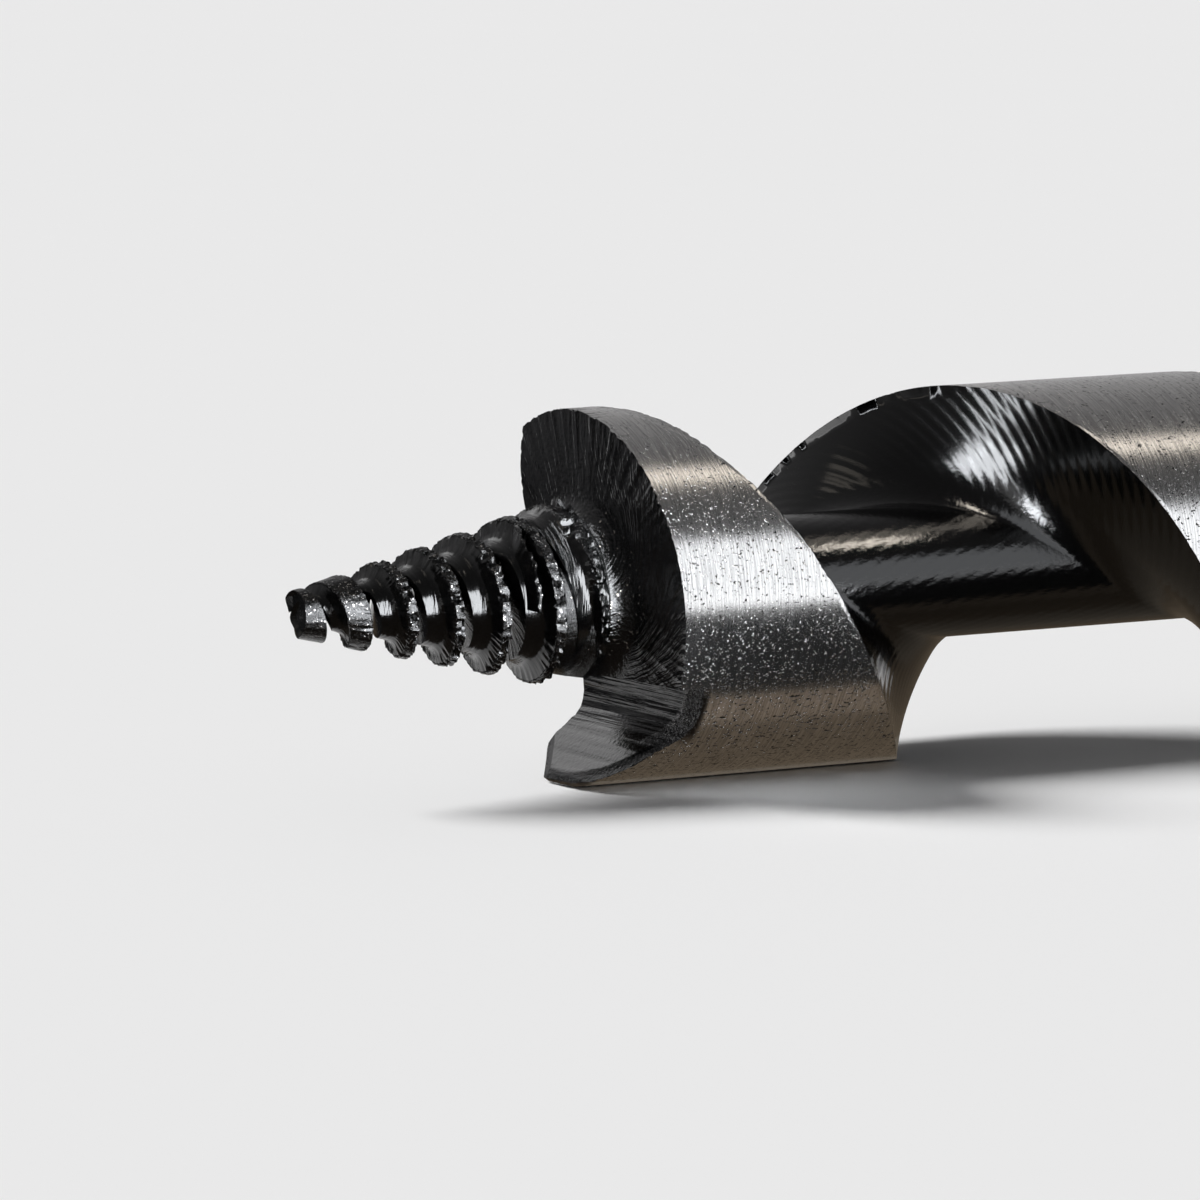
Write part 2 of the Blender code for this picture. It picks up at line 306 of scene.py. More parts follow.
def face_lacquer_finish():
    finish = Finish(bpy.data.materials.new("face_lacquer"))
    x, y, z, radius, angle = finish.place("x", "y", "z", "radius", "angle")
    flat = finish.vector(x * 0.5, y, z)
    sway = finish.noise(flat, 0.5, 2.0, 0.5) * 0.10
    right = angle.band(-0.1, 1.0)
    curve = (RADIUS - radius).math("MAXIMUM", 0.0) ** 1.5 * 0.10
    ray = (angle - curve * right + sway) * 25.0
    broad = finish.noise(finish.vector(ray, radius * 0.45, 0.0), 0.8, 2.0, 0.5)
    fine = finish.noise(finish.vector(ray * 2.4, radius * 0.6, 5.0), 1.0, 2.0, 0.5)
    strokes = broad.band(0.25, 0.75) * 0.9 + fine * 0.22
    near_collar = radius.band(5.2, 4.2)
    pitted = finish.noise(flat, 5.0, 3.0, 0.65)
    deep = (right * 0.72 + 0.28) * (1 - near_collar * 0.8)
    height = strokes * deep + pitted * (0.22 + near_collar * 0.4)
    # Painted glints: the warm bare-steel specks are kept to the face's front side, where the glints fall.
    side = angle.band(0.35, 0.7) * angle.band(2.4, 1.9)
    painted_glint_specks = pitted.band(0.65, 0.69) * radius.band(4.9, 4.4) * side
    return coat(finish, height, 0.075, 0.15, painted_glint_specks, (0.62, 0.56, 0.50, 1))


face_lacquer = made(face_lacquer_finish())

# %% [markdown]
# The groove's cutter steps down between its cuts, which leaves lines along the groove. They are strong on
# its upper wall and faint on the spur, whose rim and trailing edge are worn round. The edges are lowered
# in the bump, because a rounding that small isn't worth a mesh.

# %% The groove's lacquer
SPUR_X = -1.8
SPUR_TOP_END = 0.9  # where the spur's blunt top ends and its clearance starts, across the bit
SPUR_CLEARANCE = math.tan(math.radians(35))  # how far it runs back for each millimetre across


def groove_lacquer_finish():
    finish = Finish(bpy.data.materials.new("groove_lacquer"))
    x, y, z, radius = finish.place("x", "y", "z", "radius")
    steps = finish.noise(finish.vector(x * 1.2, y * 0.06, z * 2.6), 1.0, 2.0, 0.5)
    scratches = finish.noise(finish.vector(x * 6.0, y * 0.25, z * 9.0), 1.0, 2.0, 0.6)
    grain = finish.noise(finish.vector(x, y, z), 6.0, 2.0, 0.6)
    upper = z.band(-6.0, -5.4)
    torn = radius.band(6.6, 6.9) * upper
    trailing = (y - SPUR_TOP_END - (x - SPUR_X) / SPUR_CLEARANCE).band(-0.50, -0.12)
    rim = radius.band(7.3, 7.85).math("MAXIMUM", trailing) * (1 - upper)
    height = (steps * 1.3 + scratches * 0.25) * (upper * 0.88 + 0.12)
    height = height + grain * (0.08 + torn * 1.1 + rim * 0.6) - rim * 1.3
    return coat(finish, height, 0.16, 0.14, torn * grain.band(0.62, 0.68))


groove_lacquer = made(groove_lacquer_finish())

# %% [markdown]
# A milling cutter leaves a scallop for each of its teeth across the flute. Here they are a sine of the
# place along the helix. That place is shifted with the distance from the axis and across the flute, so
# the scallops fan out on the walls and slant on the core.

# %% The flute's lacquer


def flute_lacquer_finish():
    finish = Finish(bpy.data.materials.new("flute_lacquer"))
    x, y, z, radius, angle = finish.place("x", "y", "z", "radius", "angle")
    across = across_flute(x, angle)
    along = angle + across * 0.09 - (RADIUS - radius) * 0.13
    wall = radius.band(3.4, 5.0)
    scallops = (along * 72.0).math("SINE")
    fine = finish.noise(finish.vector(along * 110.0, across * 0.3, 0.0), 1.0, 2.0, 0.6)
    grain = finish.noise(finish.vector(x, y, z), 5.5, 3.0, 0.6)
    height = scallops * (wall * 0.04 + 0.04) + fine * 0.04 + grain * (0.30 - wall * 0.24)
    return coat(finish, height, 0.042, 0.13)


flute_lacquer = made(flute_lacquer_finish())

# %% [markdown]
# The screw is turned, so its roots have streaks round them and its flanks have rays. The surface's own
# direction tells a flank from a root. The cone of the crests tells where the coat is torn and rubbed,
# and one function gives that cone to the finish, as wires, and later to the mesh, as numbers.

# %% The screw's lacquer
LEAD_RISE = 0.145  # the screw is ground a little off the bit's axis


def crest_cone(x):
    return 3.475 + 0.2355 * (x + 3.8)


def thread_lacquer_finish():
    finish = Finish(bpy.data.materials.new("thread_lacquer"))
    x, y, z, radius, angle = finish.place("x", "y", "z", "radius", "angle")
    facing = finish.add("NewGeometry", {}, {}, output="Normal")
    lean = finish.add("SeparateXYZ", {}, {0: facing}, output="X").math("ABSOLUTE")
    flank = lean.band(0.5, 0.75)
    streaks = finish.noise(finish.vector(x * 6.0, angle * 0.9, radius * 2.0), 1.0, 2.0, 0.6)
    rays = finish.noise(finish.vector(angle * 10.0, radius * 0.5, x * 0.1), 1.0, 2.0, 0.6)
    grain = finish.noise(finish.vector(x, y, z), 9.0, 3.0, 0.7)
    raised = z - LEAD_RISE
    crest = ((y * y + raised * raised) ** 0.5 - crest_cone(x)).band(-0.10, -0.02)
    height = streaks * (1 - flank) * (1 - crest) * 0.9 + rays * flank * 0.3
    height = height + grain * (0.07 + crest * 0.6)
    rubbed = crest * grain.band(0.60, 0.66)
    return coat(finish, height, 0.055, 0.13, rubbed, (0.55, 0.53, 0.52, 1))


thread_lacquer = made(thread_lacquer_finish())

# %% [markdown]
# The collar's ridge and its burrs are torn steel under the coat. Torn steel has no direction, so this is
# noise with much detail, and the tips of its grains are rubbed bare and glitter.

# %% The collar's lacquer


def torn_lacquer_finish():
    finish = Finish(bpy.data.materials.new("torn_lacquer"))
    x, y, z, radius, angle = finish.place("x", "y", "z", "radius", "angle")
    grain = finish.noise(finish.vector(x, y, z), 9.0, 4.0, 0.7)
    rays = finish.noise(finish.vector(angle * 26.0, radius * 1.5, x), 1.0, 2.0, 0.6)
    bare = grain.band(0.68, 0.72)
    return coat(finish, grain + rays * 0.3, 0.035, 0.15, bare, (0.6, 0.56, 0.52, 1))


torn_lacquer = made(torn_lacquer_finish())

# %% [markdown]
# ## Places on the bit
#
# Most points of a bit are easiest to give as a place along the axis, an angle round it and a distance
# from it. Two helpers turn such a place into a point and back. The third gives smooth noise at a place,
# for worn and torn skin, and the fourth lets a change set in and end without a step.

# %% Places on the bit


def on_bit(x, angle, radius):
    """The point at this place along the axis, angle round it and distance from it, in millimetres."""
    return Vector((ZERO_X + x, -radius * math.sin(angle), AXIS_Z + radius * math.cos(angle))) * MM


def off_bit(point):
    """The place along the axis, the distance from it and the angle round it, for a point in metres."""
    y, z = point.y / MM, point.z / MM - AXIS_Z
    return point.x / MM - ZERO_X, math.hypot(y, z), math.atan2(-y, z)


def bump_at(x, angle, radius, size):
    """Smooth noise from about -0.5 to 0.5 with lumps of this size in millimetres."""
    y, z = radius * math.sin(angle), radius * math.cos(angle)
    return noise.noise(Vector((x, y, z)) / size)


def smooth_step(start, end, value):
    share = min(max((value - start) / (end - start), 0), 1)
    return share * share * (3 - 2 * share)


AXIS_POINT = on_bit(0, 0, 0)
ALONG = Vector((1, 0, 0))
print("on the axis", [round(v / MM, 1) for v in AXIS_POINT])

# %% [markdown]
# ## Turned and coiled shapes
#
# A turned shape is a profile spun round the axis. A thread or the twist is the same idea with a step along
# the axis added to each step of the spin. One turn is spun and the others are copies of it, moved along
# by the pitch, because a long spin grows slow.

# %% Turned and coiled shapes


def spun(profile, steps, turn=math.tau, travel=0.0, closed=False):
    """A mesh of a profile of (x, radius) that is spun round the axis and moved along it."""
    bm = bmesh.new()
    points = [bm.verts.new(on_bit(x, 0, radius)) for x, radius in profile]
    pairs = list(zip(points, points[1:] + points[:1]))
    edges = [bm.edges.new(pair) for pair in (pairs if closed else pairs[:-1])]
    bmesh.ops.spin(
        bm,
        geom=points + edges,
        cent=AXIS_POINT,
        axis=ALONG,
        dvec=ALONG * (travel / steps * MM),
        angle=turn,
        steps=steps,
        use_merge=not travel and turn == math.tau,
    )
    bmesh.ops.remove_doubles(bm, verts=bm.verts, dist=1e-7)
    return bm


def coiled(profile, steps, turns, pitch, closed=False):
    """A spun profile that climbs by the pitch in each of its turns."""
    bm = spun(profile, steps, math.tau, pitch, closed)
    one_turn = bm.verts[:] + bm.edges[:] + bm.faces[:]
    for turn in range(1, turns):
        copy = bmesh.ops.duplicate(bm, geom=one_turn)
        moved = [item for item in copy["geom"] if isinstance(item, bmesh.types.BMVert)]
        bmesh.ops.translate(bm, verts=moved, vec=ALONG * (turn * pitch * MM))
    bmesh.ops.remove_doubles(bm, verts=bm.verts, dist=3e-6)
    return bm


def arc(centre, radius, start, end, steps):
    """Points of a profile along an arc, for its rounded corners."""
    angles = [start + (end - start) * i / steps for i in range(steps + 1)]
    return [(centre[0] + radius * math.cos(a), centre[1] + radius * math.sin(a)) for a in angles]


print("a quarter of a circle", [(round(x, 2), round(r, 2)) for x, r in arc((0, 0), 1, 0, math.pi / 2, 2)])

# %% [markdown]
# ## Cut and finished pieces
#
# The real bit is a bar with a flute, a relief and a groove cut out of it. Where shapes cut each other
# here, a Boolean does the same, and each cut face keeps its cutter's finish. A plane cuts with less
# trouble than a Boolean, so a plain end is sliced and capped.

# %% Cut and finished pieces


def capped(bm):
    """Closes every open end."""
    rim = [edge for edge in bm.edges if edge.is_boundary]
    return bmesh.ops.holes_fill(bm, edges=rim, sides=0)["faces"]


def sliced(bm, point, outwards):
    """Cuts the mesh with a plane, throws away what is outside, and closes the cut."""
    bmesh.ops.bisect_plane(
        bm,
        geom=bm.verts[:] + bm.edges[:] + bm.faces[:],
        plane_co=point,
        plane_no=outwards,
        clear_outer=True,
    )
    return capped(bm)


def piece(name, bm, material):
    """The mesh as an object, with its faces pointing outwards."""
    bmesh.ops.recalc_face_normals(bm, faces=bm.faces)
    mesh = bpy.data.meshes.new(name)
    bm.to_mesh(mesh)
    bm.free()
    mesh.materials.append(material)
    obj = bpy.data.objects.new(name, mesh)
    bpy.context.scene.collection.objects.link(obj)
    return obj


def prism(name, outline, travel, material):
    """A flat outline that is pulled out along a straight line."""
    bm = bmesh.new()
    face = bm.faces.new([bm.verts.new(point) for point in outline])
    pulled = bmesh.ops.extrude_face_region(bm, geom=[face])
    moved = [item for item in pulled["geom"] if isinstance(item, bmesh.types.BMVert)]
    bmesh.ops.translate(bm, verts=moved, vec=travel)
    return piece(name, bm, material)


def shape(obj, *steps):
    """Applies Booleans with the other objects, which are then removed, and smooths the round faces."""
    for other, operation in steps:
        boolean = obj.modifiers.new(other.name, "BOOLEAN")
        boolean.operation = operation
        boolean.solver = "EXACT"
        boolean.material_mode = "TRANSFER"
        boolean.object = other
        graph = bpy.context.evaluated_depsgraph_get()
        made = bpy.data.meshes.new_from_object(obj.evaluated_get(graph))
        obj.modifiers.clear()
        obj.data = made
        bpy.data.objects.remove(other)
    obj.data.shade_smooth()
    obj.data.set_sharp_from_angle(angle=math.radians(30))
    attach(obj, "root")
    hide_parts("auger_bit")
    triangles = sum(len(face.vertices) - 2 for face in obj.data.polygons)
    print(obj.name, "has", triangles, "triangles")
    return obj


# %% [markdown]
# ## The flute
#
# A milling cutter makes the flute, so its section is two drafted walls and a rounded floor. The cutter
# shape is that section, spun with a pitch. Near the lip the rear wall is moved back, and before the
# flute's first quarter turn it leaves the bar along a straight line that touches the core.

# %% The flute's section
CORE_RADIUS = 2.9
FLUTE_FILLET = 2.2
FLUTE_DRAFT = math.radians(12)
WALL_STEP = 0.6  # short faces on the wall keep its shading even
OVERSHOOT = 3  # how far a cutter reaches past what it cuts


def flute_section():
    depth = RADIUS - CORE_RADIUS
    lean = math.tan(FLUTE_DRAFT)
    to_centre = FLUTE_FILLET / math.cos(FLUTE_DRAFT) + (depth - FLUTE_FILLET) * lean
    centre = (to_centre, CORE_RADIUS + FLUTE_FILLET)
    fillet = arc(centre, FLUTE_FILLET, math.pi + FLUTE_DRAFT, 1.5 * math.pi, 10)
    wall = [(i * WALL_STEP * lean, RADIUS - i * WALL_STEP) for i in range(4)]
    rear = [(-OVERSHOOT * lean, RADIUS + OVERSHOOT), *wall, *fillet]
    return rear + [(FLUTE_WIDTH - x, r) for x, r in reversed(rear)]


print("flute section", len(flute_section()), "points")

# %% The flute's cutter
LIP_ANGLE = math.radians(-30)
LIP_EXTRA = 1.56  # how much wider the land is at the lip
LIP_BLEND = math.radians(70)  # how far round the extra width fades out
LIP_PITCH = 5.8  # the flute's flatter climb inside the lip
FLUTE_START = math.radians(-90)
FLUTE_END = (TWIST_END_X - FLUTE_WIDTH) / TWIST_PITCH * math.tau
FLUTE_LEAD_IN = math.radians(74)  # how far round the cutter runs before it


def lip_widening(angle):
    """How far the rear wall stands back from its helix near the lip."""
    if angle < LIP_ANGLE:
        return LIP_EXTRA + (TWIST_PITCH - LIP_PITCH) * (LIP_ANGLE - angle) / math.tau
    return LIP_EXTRA * max(0, LIP_ANGLE + LIP_BLEND - angle) / LIP_BLEND


def flute_cutter():
    start = FLUTE_START - FLUTE_LEAD_IN
    bm = coiled(flute_section(), 180, 5, TWIST_PITCH, closed=True)
    for vert in bm.verts:
        x, radius, angle = off_bit(vert.co)
        turns = round((x - FLUTE_WIDTH / 2 - angle / math.tau * TWIST_PITCH) / TWIST_PITCH)
        angle += turns * math.tau
        x += start / math.tau * TWIST_PITCH
        angle += start
        from_rear = x - angle / math.tau * TWIST_PITCH
        if from_rear < FLUTE_WIDTH / 2:
            x += lip_widening(angle)
        past = max(FLUTE_START - angle, angle - FLUTE_END, 0)
        radius += CORE_RADIUS * (1 / math.cos(min(past, 1.4)) - 1)
        vert.co = on_bit(x, angle, radius)
    capped(bm)
    bmesh.ops.triangulate(bm, faces=bm.faces, quad_method="SHORT_EDGE")
    return piece("flute_cutter", bm, flute_lacquer)


flute = flute_cutter()
print("flute cutter", len(flute.data.polygons), "faces")

# %% [markdown]
# ## The head
#
# The head's face slopes back a few degrees from the lip, and a fillet joins it to the collar. A grinding
# wheel that is tilted to the axis would leave just that, so a tilted ring is the cutter. It ends where
# the groove takes over below.

# %% The relief's cutter
LIP_X = -1.0
RELIEF_TILT = math.radians(4.1)
RELIEF_FILLET = 1.2
RELIEF_INNER = 3.23
RELIEF_FRONT = -6  # well in front of the lip
RELIEF_BOTTOM_Z = AXIS_Z - 4.2


def relief_cutter():
    fillet_centre = (-RELIEF_FILLET, RELIEF_INNER + RELIEF_FILLET)
    fillet = arc(fillet_centre, RELIEF_FILLET, -math.pi / 2, 0, 12)
    outer = RADIUS + 5
    section = [(RELIEF_FRONT, RELIEF_INNER), *fillet, (0, outer), (RELIEF_FRONT, outer)]
    bm = spun(section, 240, closed=True)
    low_side = on_bit(0, math.radians(150), 1) - AXIS_POINT
    bmesh.ops.transform(
        bm,
        matrix=Matrix.Translation(on_bit(LIP_X + RADIUS * math.tan(RELIEF_TILT), 0, 0))
        @ Matrix.Rotation(RELIEF_TILT, 4, low_side.cross(ALONG))
        @ Matrix.Translation(-AXIS_POINT),
        verts=bm.verts,
    )
    cut = bmesh.ops.bisect_plane(
        bm,
        geom=bm.verts[:] + bm.edges[:] + bm.faces[:],
        plane_co=(0, 0, RELIEF_BOTTOM_Z * MM),
        plane_no=(0, 0, -1),
        clear_outer=True,
    )
    rim = [item for item in cut["geom_cut"] if isinstance(item, bmesh.types.BMEdge)]
    bmesh.ops.holes_fill(bm, edges=rim, sides=0)
    bmesh.ops.triangulate(bm, faces=bm.faces)
    return piece("relief_cutter", bm, face_lacquer)


relief = relief_cutter()
print("relief cutter", len(relief.data.polygons), "faces")

# %% [markdown]
# The spur scores the wood's grain in front of the lip. It is what a groove across the head leaves
# standing below it, with a clearance at its trailing end so that only its blunt top drags. Both cuts are
# straight, so each cutter is an outline that is pulled out to a prism.

# %% The spur's cutters
GROOVE_REACH = 10  # to each side of the axis


def groove_cutter():
    """The groove's section from its ceiling, round its floor and down the spur's inner face."""
    section = [
        (-2.5, -3.2),
        (1.25, -3.2),
        (1.30, -3.75),
        (1.36, -4.45),
        (1.30, -4.85),
        (1.20, -5.15),
        (0.91, -5.52),
        (0.42, -5.88),
        (0.0, -6.22),
        (-0.65, -6.87),
        (-1.30, -7.34),
        (-1.58, -7.56),
        (-1.74, -7.78),
        (-1.81, -8.05),
        (-2.5, -8.4),
    ]
    outline = [Vector((ZERO_X + x, -GROOVE_REACH, AXIS_Z + z)) * MM for x, z in section]
    return prism("groove_cutter", outline, Vector((0, 2 * GROOVE_REACH * MM, 0)), groove_lacquer)


def clearance_cutter():
    front = SPUR_X - 2
    far = 10
    low = -2
    corners = [
        (front, SPUR_TOP_END - 2 / SPUR_CLEARANCE),
        (SPUR_X + (far - SPUR_TOP_END) * SPUR_CLEARANCE, far),
        (front, far),
    ]
    outline = [Vector((ZERO_X + x, y, low)) * MM for x, y in corners]
    return prism("clearance_cutter", outline, Vector((0, 0, (RELIEF_BOTTOM_Z - low) * MM)), torn_lacquer)


clearance = clearance_cutter()
groove = groove_cutter()
print("spur cutters", [len(cutter.data.polygons) for cutter in (clearance, groove)], "faces")

# %% [markdown]
# ## The twist and the head
#
# The bar is turned first and cut afterwards, as the real one is: relief, clearance, groove and flute, in
# that order. Rings along the bar keep its faces short, which keeps the shading even once the edges are
# worn.

# %% The bar, cut to the twist and the head
NECK_RADIUS = 5.25
NECK_END_X = 185  # inside the hexagon
SHOULDER_RUN = 4.76


def bar():
    head_rings = [i * 1.2 for i in range(26)]
    other_rings = [34.0 + i * 5.0 for i in range(23)]
    profile = [
        (SPUR_X, 0),
        (SPUR_X, RADIUS - 0.35),
        (SPUR_X + 0.08, RADIUS - 0.14),
        (SPUR_X + 0.26, RADIUS),
        *[(x, RADIUS) for x in head_rings + other_rings],
        (TWIST_END_X, RADIUS),
        (TWIST_END_X + SHOULDER_RUN, NECK_RADIUS),
        (NECK_END_X, NECK_RADIUS),
        (NECK_END_X, 0),
    ]
    return piece("twist_and_head", spun(profile, 360), steel)


twist = shape(
    bar(),
    (relief, "DIFFERENCE"),
    (clearance, "DIFFERENCE"),
    (groove, "DIFFERENCE"),
    (flute, "DIFFERENCE"),
)

# %% [markdown]
# ## Worn edges and true normals
#
# The real edges are nicked, so the points on each sharp edge are pushed in a little by noise. The land's
# faces run from edge to edge, and a nick would tilt a whole face and show as a line along the bit. The
# turned surface's normals are known exactly, so they are written to its corners.

# %% Worn edges and true normals


def worn_edges(obj):
    """Nicks the sharp edges a little, always inwards, and most of all on the head."""
    mesh = obj.data
    bm = bmesh.new()
    bm.from_mesh(mesh)
    for vert in bm.verts:
        if any(not edge.smooth for edge in vert.link_edges):
            x, radius, angle = off_bit(vert.co)
            nick = bump_at(x, angle, radius, 0.18) * 0.09 + bump_at(x, angle, radius, 0.5) * 0.10
            nick *= 1 - 0.7 * smooth_step(9, 13, x)
            if 6.0 < radius and x < TWIST_END_X:
                vert.co = on_bit(x + nick * 0.5, angle, radius - abs(nick))
    bm.to_mesh(mesh)
    bm.free()


def true_normals(obj):
    """Points every corner of the turned surface straight out from the axis."""
    mesh = obj.data
    normals = [(0, 0, 0)] * len(mesh.loops)
    for face in mesh.polygons:
        places = [off_bit(mesh.vertices[index].co) for index in face.vertices]
        turned = all(radius > RADIUS - 0.3 and x > SPUR_X + 0.1 for x, radius, angle in places)
        if turned and mesh.materials[face.material_index] == steel:
            for corner, (x, radius, angle) in zip(face.loop_indices, places):
                normals[corner] = (0, -math.sin(angle), math.cos(angle))
    mesh.normals_split_custom_set(normals)
    return sum(normal != (0, 0, 0) for normal in normals)


worn_edges(twist)
print("true normals at", true_normals(twist), "corners")

# %% [markdown]
# ## The collar
#
# Behind the last thread the screw meets the head in a rough ridge, where the cutter's steps tore the
# steel. It is a turned ring whose skin is pushed in and out by noise, most of all at the top, where the
# photograph shows burrs. The groove's cutter flattens its underside as it does the head's.

# %% The collar


def collar_bar():
    front = [(-3.0, 0), (-3.0, 3.0), (-1.9, 3.2), (-1.62, 3.45), (-1.5, 3.66), (-1.35, 3.72)]
    ridge = [(-1.24, 3.70), (-1.14, 3.56), (-1.05, 3.38), (-0.9, 3.25)]
    core = [(0.0, 3.2), (1.0, 3.2), (2.6, 2.6), (2.6, 0)]
    bm = spun([*front, *ridge, *core], 360)
    for vert in bm.verts:
        x, radius, angle = off_bit(vert.co)
        if radius > 3.4:
            top = smooth_step(0.75, 0.1, abs(angle + 0.1))
            torn = bump_at(x, angle, radius, 0.22) * 0.03 + bump_at(x, angle, radius, 0.6) * 0.06
            burr = max(bump_at(x + 7, angle, radius, 0.45) + 0.1, 0) * 0.75 * top
            vert.co = on_bit(x - burr * 0.5, angle, radius + torn + burr)
    return piece("collar", bm, torn_lacquer)


shape(collar_bar(), (groove_cutter(), "DIFFERENCE"))

# %% [markdown]
# ## The lead screw
#
# The thread is a profile for one pitch that is spun with that pitch, which gives the threads and the root
# in one skin. It is then moved onto the cone of the roots and cut off at the cone of the crests. The
# first turns are wide and flat, the others thin. The last turn is the collar's ridge: its root is thicker
# and its front flank runs out. Noise chips the crests.

# %% The lead screw's measures
LEAD_TIP_X = -14.3
LEAD_PITCH = 1.98
LAST_CREST_X = -4.47  # the front of the last full turn's crest, at the top of the bit
COLLAR_ROOT = 3.25
THREAD_DEPTH = 1.3  # from the root to the profile's crest, which the cone of the crests cuts down


def root_radius(x, turn):
    plain = 0.80 + 0.208 * (x + 12.5)
    return plain + (COLLAR_ROOT - plain) * smooth_step(0.40, 0.95, turn)


def crest_radius(x):
    return min(crest_cone(x), 3.86)


def thread_profile():
    """One pitch of (x, height over the root), from the front of one crest to the front of the next."""
    crest = [(0, THREAD_DEPTH), (0.14, 1.32), (0.26, 1.25)]
    rear = [(0.31, 0.98), (0.37, 0.58), (0.45, 0.23), (0.56, 0.05)]
    root = [(0.75, 0.0), (1.0, 0.02), (1.25, 0.03), (1.45, 0.05)]
    flank = [(1.60, 0.09), (1.72, 0.2), (1.80, 0.4), (1.87, 0.65), (1.93, 0.95)]
    return [*crest, *rear, *root, *flank, (LEAD_PITCH, THREAD_DEPTH)]


print("thread profile", len(thread_profile()), "points for a pitch of", LEAD_PITCH, "mm")

# %% [markdown]
# A plain coil has the same section everywhere. To let the tip's crests widen and the last flank run out,
# each of its points is told how many turns it is from the last crest, and is moved along the axis by an
# amount that depends on that.

# %% The thread's turns
FLANK_RUN = 0.53  # the front flank of a plain turn, along the axis
FLANK_AND_ROOT = 1.38


def run_out(next_crest):
    """How far the front flank reaches in front of its crest, near the end of the thread."""
    grown = 0.75 * smooth_step(0.8, 1.02, next_crest)
    return FLANK_RUN + grown - 1.15 * smooth_step(1.05, 1.35, next_crest)


def thread_place(x, angle, height):
    """Moves a point of the plain coil to its place on the wide tip, a plain turn or the run-out."""
    turns = (x - LAST_CREST_X) / LEAD_PITCH - angle / math.tau
    whole = math.floor(turns + 1e-6)
    back = (turns - whole) * LEAD_PITCH
    ahead = LEAD_PITCH - back
    next_crest = whole + 1 + angle / math.tau
    mine = next_crest - (1 if back < 1.0 else 0)
    flat = 0.66 * smooth_step(-2.9, -4.0, mine) + 0.25 * smooth_step(-4.5, -4.8, mine)
    if back < 0.3:
        x -= flat * (1 - back / 0.3)
    elif back > 0.6:
        x -= flat * smooth_step(0.6, 1.45, back)
        if next_crest > 0.8:
            reach = run_out(next_crest)
            if ahead < FLANK_RUN:
                stretched = ahead * reach / FLANK_RUN
            else:
                share = (ahead - FLANK_RUN) / (FLANK_AND_ROOT - FLANK_RUN)
                stretched = reach + share * (FLANK_AND_ROOT - reach)
            x += ahead - stretched
    x += 0.3 * smooth_step(-0.7, 0.0, mine)
    height *= 1 - smooth_step(1.32, 1.42, mine)
    return x, height, next_crest


print("the last flank reaches", [round(run_out(0.8 + i * 0.1), 2) for i in range(6)])

# %% The lead screw
TURNS_TO_TIP = 6  # in front of the last crest
TURNS = 8  # with those that the collar hides
SCREW_END_X = -1.15  # inside the collar
TIP_DISH = 0.16  # the torn tip's hollow, in from its rim and deep


def lead_screw():
    first_x = LAST_CREST_X - TURNS_TO_TIP * LEAD_PITCH
    bm = coiled([(first_x + x, height) for x, height in thread_profile()], 200, TURNS, LEAD_PITCH)
    for vert in bm.verts:
        x, height, angle = off_bit(vert.co)
        x, height, next_crest = thread_place(x, angle, height)
        radius = max(root_radius(x, next_crest), 0.3)
        crest = crest_radius(x)
        sound = smooth_step(-13.2, -10.5, x)
        chip = max(bump_at(x, angle, crest, 0.35) - 0.12, 0) * 0.5 * sound
        crest += bump_at(x, angle, crest, 0.16) * 0.06 * (0.3 + 0.7 * sound) - chip
        wave = bump_at(x, angle, crest + 9, 0.5) * 0.10 + bump_at(x, angle, crest, 0.14) * 0.05
        x += wave * min(height / THREAD_DEPTH, 1) * sound
        vert.co = on_bit(x, angle, min(radius + height, crest)) + Vector((0, 0, LEAD_RISE * MM))
    bmesh.ops.remove_doubles(bm, verts=bm.verts, dist=1e-6)
    ends = sliced(bm, on_bit(LEAD_TIP_X, 0, 0), -ALONG)
    sliced(bm, on_bit(SCREW_END_X, 0, 0), ALONG)
    tip = [face for face in ends if face.is_valid]
    dish = bmesh.ops.inset_region(bm, faces=tip, thickness=TIP_DISH * MM)
    inner = {vert for face in ends if face.is_valid for vert in face.verts}
    bmesh.ops.translate(bm, verts=list(inner), vec=ALONG * TIP_DISH * MM)
    print("tip dish", len(dish["faces"]), "faces")
    return piece("lead_screw", bm, thread_lacquer)


shape(lead_screw(), (groove_cutter(), "DIFFERENCE"))

# %% [markdown]
# ## The thread's split end
#
# The last full turn has a second, thin crest in front of it, which ends at once about a quarter turn
# down. It is a blade with a six-sided section, spun for that quarter turn.

# %% The split crest


def split_crest():
    start = math.radians(2)
    turn = math.radians(92)
    section = [(-0.16, 2.2), (-0.05, 2.9), (0.0, 3.36), (0.10, 3.38), (0.14, 2.9), (0.30, 2.2)]
    bm = spun(section, 92, turn, 0.05, closed=True)
    for vert in bm.verts:
        x, radius, angle = off_bit(vert.co)
        share = min(max(angle / turn, 0), 1)
        x += -4.12 - 0.38 * smooth_step(0, 0.4, share)
        jag = bump_at(x, angle, radius, 0.3) * 0.16 * smooth_step(2.8, 3.3, radius)
        vert.co = on_bit(x + jag * 0.6, angle + start, radius + jag) + Vector((0, 0, LEAD_RISE * MM))
    capped(bm)
    return piece("split_crest", bm, thread_lacquer)


shape(split_crest())

# %% [markdown]
# ## The shank
#
# A hexagonal bar fits the chuck. Both of its ends are turned to a chamfer. Bevelled edges would give six
# flat chamfers, but the lathe gives one round one, and so does a Boolean with a turned envelope.

# %% The shank
HEX_START_X = 182.7
HEX_END_X = 220.7
HEX_ACROSS_FLATS = 11.0
HEX_CHAMFER = 0.9  # in from the corners
CHAMFER_SLOPE = math.tan(math.radians(30))


